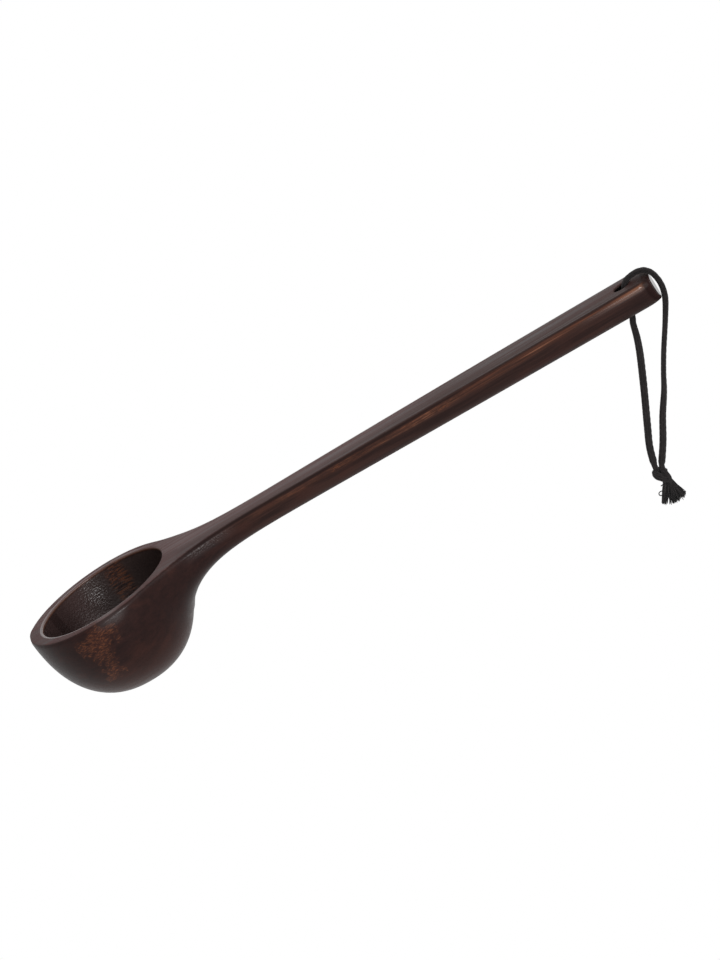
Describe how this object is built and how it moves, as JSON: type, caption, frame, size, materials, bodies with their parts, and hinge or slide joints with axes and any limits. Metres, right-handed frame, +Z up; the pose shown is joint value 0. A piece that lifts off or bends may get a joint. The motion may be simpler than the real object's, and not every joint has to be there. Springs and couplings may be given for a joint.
{
  "type": "sauna ladle",
  "caption": "Sauna ladle with a deep round bowl, a long flat-topped handle that flares into it, and a knotted cord loop through the handle's end for hanging.",
  "frame": {"origin": "middle of the handle where a hand grips it", "axes": "+Z up as the ladle is held with its bowl low and its cord hanging, +X level from the bowl towards the handle's end, +Y across the bowl"},
  "size_m": [0.3637, 0.094, 0.2485],
  "materials": {
    "stained_bamboo": "dark stain under satin lacquer",
    "black_cord": "matt braided cotton"
  },
  "bodies": {
    "ladle": {"rim_and_handle_board": "stained_bamboo", "bowl_wall_board": "stained_bamboo", "bowl_base_board": "stained_bamboo", "cord_bight": "black_cord"},
    "cord_loop": {"cord_leg_inner": "black_cord", "cord_leg_outer": "black_cord", "cord_knot": "black_cord", "cord_end_left": "black_cord", "cord_end_right": "black_cord"}
  },
  "joints": [
    {"name": "loop_swing", "type": "hinge", "parent": "ladle", "child": "cord_loop", "pos_m": [0.07997, 0, 0.03525], "axis": [0.872, 0, 0.4895], "range_deg": [-70, 70]}
  ]
}
